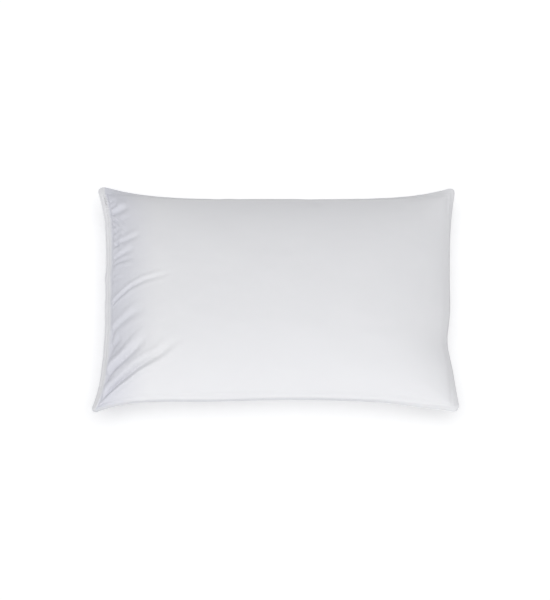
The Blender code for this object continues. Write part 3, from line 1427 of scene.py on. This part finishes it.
@dataclass(frozen=True)
class Studio:
    """A plain white floor, soft light and the camera."""

    sky: Triple = (0.97, 0.98, 1.0)
    sky_strength: float = 0.385
    top_strength: float = 1.50
    top_spread: float = 90.0
    key_strength: float = 1.34
    key_spread: float = 70.0
    key_direction: Triple = (-0.12, -0.90, 0.42)
    target: Vector = field(default_factory=lambda: Vector((-0.002, -0.012, 0.06)))
    distance: float = 4.0
    elevation: float = 68.0
    lens: float = 120.0
    floor_size: float = 24.0
    floor_drop: float = 0.0004

    def build(self) -> None:
        """Make the floor, the light and the camera."""
        scene = bpy.context.scene
        scene.view_settings.view_transform = "Standard"
        world = bpy.data.worlds.new("studio_surround")
        world.use_nodes = True
        surround = world.node_tree.nodes["Background"]
        surround.inputs["Color"].default_value = (*self.sky, 1.0)
        surround.inputs["Strength"].default_value = self.sky_strength
        sheet = NodeSheet(world.node_tree)
        seen = sheet.add("ShaderNodeBackground", Color=(1.0, 1.0, 1.0, 1.0), Strength=1.0)
        choice = sheet.add("ShaderNodeMixShader")
        sheet.link(sheet.add("ShaderNodeLightPath").outputs["Is Camera Ray"], choice.inputs["Fac"])
        sheet.link(surround.outputs["Background"], choice.inputs[1])
        sheet.link(seen.outputs["Background"], choice.inputs[2])
        sheet.link(choice.outputs["Shader"], world.node_tree.nodes["World Output"].inputs["Surface"])
        scene.world = world
        floor = self.add_floor()
        self.add_sun("top_softbox", self.top_strength, self.top_spread, (0.0, 0.0, 1.0))
        front = self.add_sun("front_softbox", self.key_strength, self.key_spread, self.key_direction)
        self.keep_off(front, floor)
        self.add_camera()

    def keep_off(self, light: bpy.types.Object, floor: bpy.types.Object) -> None:
        """Flag a light off the floor, so that it throws no shadow behind the pillow.

        Args:
            light: The light.
            floor: The floor.
        """
        flagged = bpy.data.collections.new(light.name + "_flag")
        flagged.objects.link(floor)
        flagged.collection_objects[0].light_linking.link_state = "EXCLUDE"
        light.light_linking.receiver_collection = flagged

    def add_floor(self) -> bpy.types.Object:
        """Lay the floor under the pillow.

        Returns:
            The floor.
        """
        mesh = bmesh.new()
        bmesh.ops.create_grid(mesh, x_segments=8, y_segments=8, size=self.floor_size / 2.0)
        bmesh.ops.translate(mesh, vec=(0.0, 0.0, -self.floor_drop), verts=mesh.verts)
        data = bpy.data.meshes.new("studio_floor")
        mesh.to_mesh(data)
        mesh.free()
        data.materials.append(FloorFinish().build())
        floor = bpy.data.objects.new("studio_floor", data)
        bpy.context.scene.collection.objects.link(floor)
        return floor

    def add_sun(self, name: str, strength: float, spread: float, towards: Triple) -> bpy.types.Object:
        """Add a wide soft light.

        Args:
            name: The light's name.
            strength: Its irradiance.
            spread: The angle that it fills, in degrees.
            towards: The direction of the light from the pillow.

        Returns:
            The light.
        """
        lamp = bpy.data.lights.new(name, "SUN")
        lamp.energy = strength
        lamp.angle = math.radians(spread)
        light = bpy.data.objects.new(name, lamp)
        light.rotation_euler = Vector(towards).to_track_quat("Z", "Y").to_euler()
        bpy.context.scene.collection.objects.link(light)
        return light

    def add_camera(self) -> None:
        """Set up the camera over the front edge."""
        lens = bpy.data.cameras.new("camera")
        lens.lens = self.lens
        lens.sensor_width = 36.0
        camera = bpy.data.objects.new("camera", lens)
        rise = math.radians(self.elevation)
        back = Vector((0.0, -math.cos(rise), math.sin(rise)))
        camera.location = self.target + back * self.distance
        camera.rotation_euler = back.to_track_quat("Z", "Y").to_euler()
        bpy.context.scene.collection.objects.link(camera)
        bpy.context.scene.camera = camera


UPPER_FOLDS = (
    Fold(((-0.338, -0.035), (-0.325, -0.026), (-0.305, -0.014), (-0.286, -0.003), (-0.260, 0.006),
          (-0.222, 0.012), (-0.193, 0.020)), 0.0036, 0.0034, ridge=0.7, end_fade=0.35),
    Fold(((-0.338, -0.094), (-0.324, -0.083), (-0.285, -0.062), (-0.255, -0.050)), 0.0027, 0.0055, ridge=0.7),
    Fold(((-0.350, -0.208), (-0.334, -0.180), (-0.321, -0.165), (-0.284, -0.138), (-0.258, -0.115),
          (-0.244, -0.108)), 0.0068, 0.0058, ridge=0.7, end_fade=0.60),
    Fold(((-0.352, -0.232), (-0.330, -0.211), (-0.309, -0.195), (-0.269, -0.168), (-0.226, -0.147),
          (-0.177, -0.108)), 0.0066, 0.0046, ridge=0.9, ridge_side=-1.0,
         start_fade=0.28, end_fade=0.50),
    Fold(((-0.330, -0.070), (-0.324, -0.110), (-0.312, -0.150)), 0.0060, 0.0150, ridge=0.0, start_fade=0.4),
    Fold(((-0.336, 0.062), (-0.329, 0.067), (-0.279, 0.081)), 0.0030, 0.0042),
    Fold(((-0.336, 0.055), (-0.326, 0.058), (-0.278, 0.061)), 0.0026, 0.0040, ridge_side=-1.0),
    Fold(((-0.334, 0.172), (-0.318, 0.174), (-0.296, 0.186)), 0.0040, 0.0060, ridge=0.9),
    Fold(((-0.334, 0.128), (-0.326, 0.114), (-0.314, 0.086)), 0.0028, 0.0028, start_fade=0.2, end_fade=0.7),
    Fold(((-0.334, 0.141), (-0.324, 0.124), (-0.312, 0.098)), 0.0026, 0.0028, start_fade=0.2, end_fade=0.7),
    Fold(((-0.334, 0.154), (-0.323, 0.136), (-0.311, 0.110)), 0.0026, 0.0028, start_fade=0.2, end_fade=0.7),
    Fold(((-0.332, 0.164), (-0.321, 0.148), (-0.310, 0.124)), 0.0020, 0.0028, start_fade=0.2, end_fade=0.7),
    Fold(((-0.334, 0.108), (-0.324, 0.100), (-0.300, 0.102), (-0.262, 0.112)), 0.0026, 0.0042),
    Fold(((-0.337, -0.128), (-0.322, -0.112), (-0.300, -0.098)), 0.0026, 0.0048),
    Fold(((0.064, 0.190), (0.078, 0.176), (0.090, 0.166)), 0.0024, 0.0030, start_fade=0.3),
    Fold(((-0.028, -0.194), (-0.027, -0.170)), 0.0012, 0.0020, start_fade=0.3),
    Fold(((0.004, -0.184), (0.004, -0.164)), 0.0010, 0.0020, start_fade=0.3),
)


@dataclass(frozen=True)
class Gathers:
    """The small pleats that fan out from the drawn-up closing seam, drawn at random within these ranges."""

    count: int = 30
    seed: int = 11
    half_span: float = 0.205
    seam_middle: float = -0.336
    seam_ear: float = 0.012
    corner: float = 0.22
    steps: Spot = (0.2, 0.8)
    lengths: Spot = (0.010, 0.036)
    slants: Spot = (0.05, 0.75)
    fan: float = 1.2
    fans: Spot = (0.3, 1.0)
    bends: Spot = (-0.15, 0.15)
    depths: Spot = (0.0006, 0.0022)
    widths: Spot = (0.0024, 0.0046)

    def folds(self, face: Face) -> tuple[Fold, ...]:
        """Lay out the pleats of one panel.

        Args:
            face: Which panel they are on.

        Returns:
            The pleats as short folds.
        """
        draw = random.Random(self.seed if face is Face.UPPER else self.seed + 1)
        made = []
        for number in range(self.count):
            across = 2.0 * self.half_span * (number + draw.uniform(*self.steps)) / self.count - self.half_span
            length = draw.uniform(*self.lengths)
            rise = length * (draw.uniform(*self.slants) - self.fan * across * draw.uniform(*self.fans))
            start = self.seam_middle - self.seam_ear * abs(across / self.corner) ** 4
            bend = draw.uniform(*self.bends) * length
            halfway = (start + 0.5 * length, across + 0.5 * rise + bend)
            route = ((start, across), halfway, (start + length, across + rise))
            made.append(Fold(route, draw.uniform(*self.depths), draw.uniform(*self.widths), end_fade=0.1,
                             ridge_side=draw.choice((-1.0, 1.0))))
        return tuple(made)


def stitch_rows(face: Face, overlap: float = 0.0032) -> list[StitchRow]:
    """List the rows of one face.

    Args:
        face: The needle thread's face above, or the bobbin thread's below.
        overlap: How far short of the closing rows the side rows stop.

    Returns:
        The inner and outer rows of the side seam and of the closing seam.
    """
    kind = "needle" if face is Face.UPPER else "bobbin"
    rows = []
    for place, out in zip(("inner", "outer"), STITCH_ROWS):
        x, y = HALF_CUT[0] + out, HALF_CUT[1] + out
        closed, end = overlap - x, HALF_CUT[1] + STITCH_ROWS[1]
        routes = {"side": ((closed, -y), (x, -y), (x, y), (closed, y)), "closing": ((-x, -end), (-x, end))}
        for seam, route in routes.items():
            rows.append(StitchRow(f"{seam}_{place}_{kind}_stitches", f"{seam}_{place}_{kind}_thread", route))
    return rows


def main() -> None:
    """Build the pillow and its studio."""
    logging.basicConfig(level=logging.INFO, format="%(name)s: %(message)s")
    cotton = CottonFinish().build()
    thread = ThreadFinish().build()
    Studio().build()
    panels = {
        Face.UPPER: CasingPanel(
            Face.UPPER, "upper_panel_cloth", "upper_panel", PANEL_CUT,
            folds=UPPER_FOLDS + Gathers().folds(Face.UPPER),
        ),
        Face.LOWER: CasingPanel(
            Face.LOWER, "lower_panel_cloth", "lower_panel", PANEL_CUT, folds=Gathers().folds(Face.LOWER),
            held_patch=0.003,
        ),
    }
    for face, panel in panels.items():
        panel.build(cotton)
        for row in stitch_rows(face):
            row.build(panel.surface, thread)
    LockTack().build(panels[Face.UPPER].surface, thread)
    CareLabel().build(panels[Face.LOWER].surface, SatinFinish().build())
    FillMass().build(FibreFinish().build())


if __name__ == "__main__":
    main()
